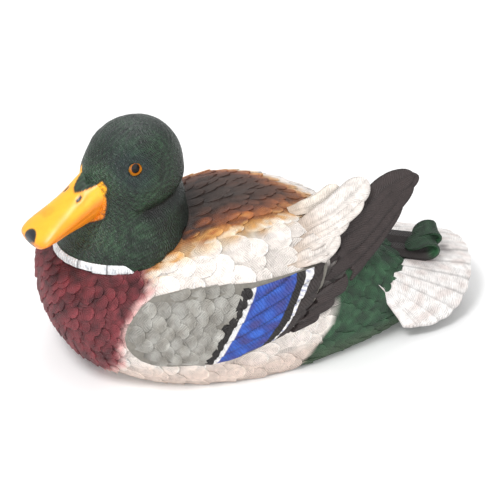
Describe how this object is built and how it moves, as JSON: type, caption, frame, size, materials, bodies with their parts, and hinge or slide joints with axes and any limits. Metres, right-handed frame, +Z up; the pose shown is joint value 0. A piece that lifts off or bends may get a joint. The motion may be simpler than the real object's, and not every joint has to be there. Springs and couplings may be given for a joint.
{
  "type": "floating duck decoy",
  "caption": "Painted mallard drake decoy with a flat base, feathered hull, separate head, wings and tail, and a swivelling anchor ring underneath.",
  "frame": {"origin": "centre of the object's footprint box, on the surface it rests on", "axes": "+X from bill to tail, +Y towards the duck's right side, +Z up"},
  "size_m": [0.3552, 0.179, 0.1885],
  "materials": {
    "painted_white": "hand-painted cast resin, dry-brushed white with a thin brown wash in the feather grooves",
    "painted_green": "hand-painted cast resin, deep bottle green, satin",
    "bill_enamel": "orange-yellow enamel on cast resin, semi-gloss, black nail",
    "painted_wing": "hand-painted cast resin, grey coverts with a blue speculum between black and white bars",
    "painted_dark": "hand-painted cast resin, black-brown with lighter feather edges",
    "eye_glass": "amber glass taxidermy eye with a black pupil",
    "board": "varnished marine ply",
    "steel": "stainless steel fastener",
    "brass": "turned brass",
    "iron": "painted cast iron",
    "rubber": "black nitrile rubber",
    "foam": "closed-cell flotation foam",
    "dowel": "birch dowel"
  },
  "bodies": {
    "decoy": {"anchor_bush": "brass", "ballast_screw_1": "steel", "ballast_screw_2": "steel", "ballast_weight": "iron", "base_plate": "board", "base_screw_1": "steel", "base_screw_2": "steel", "base_screw_3": "steel", "base_screw_4": "steel", "base_screw_5": "steel", "base_screw_6": "steel", "base_seal": "rubber", "bill": "bill_enamel", "bill_dowel": "dowel", "drain_bush": "brass", "eye_left": "eye_glass", "eye_right": "eye_glass", "flotation_core": "foam", "head_casting": "painted_green", "hull_shell": "painted_white", "neck_bolt": "steel", "neck_insert": "brass", "neck_washer": "steel", "primaries_left": "painted_dark", "primaries_right": "painted_dark", "tail_curl_front": "painted_green", "tail_curl_rear": "painted_green", "tail_fan": "painted_white", "tertials_left": "painted_white", "tertials_right": "painted_white", "wing_left": "painted_wing", "wing_pin_left_1": "dowel", "wing_pin_left_2": "dowel", "wing_pin_right_1": "dowel", "wing_pin_right_2": "dowel", "wing_right": "painted_wing"},
    "swivel": {"anchor_eye": "steel", "anchor_nut": "steel", "anchor_washer": "steel"},
    "ring": {"anchor_ring": "steel"},
    "plug": {"drain_plug": "rubber"}
  },
  "joints": [
    {"name": "anchor_swivel", "type": "hinge", "parent": "decoy", "child": "swivel", "pos_m": [-0.068, 0, 0.0085], "axis": [0, 0, 1], "continuous": true},
    {"name": "anchor_ring_swing", "type": "hinge", "parent": "swivel", "child": "ring", "pos_m": [-0.068, 0, 0.0041], "axis": [0, 1, 0], "range_deg": [0, 180]},
    {"name": "drain_plug_pull", "type": "slide", "parent": "decoy", "child": "plug", "axis": [0, 0, -1], "range_m": [0, 0.014]}
  ]
}
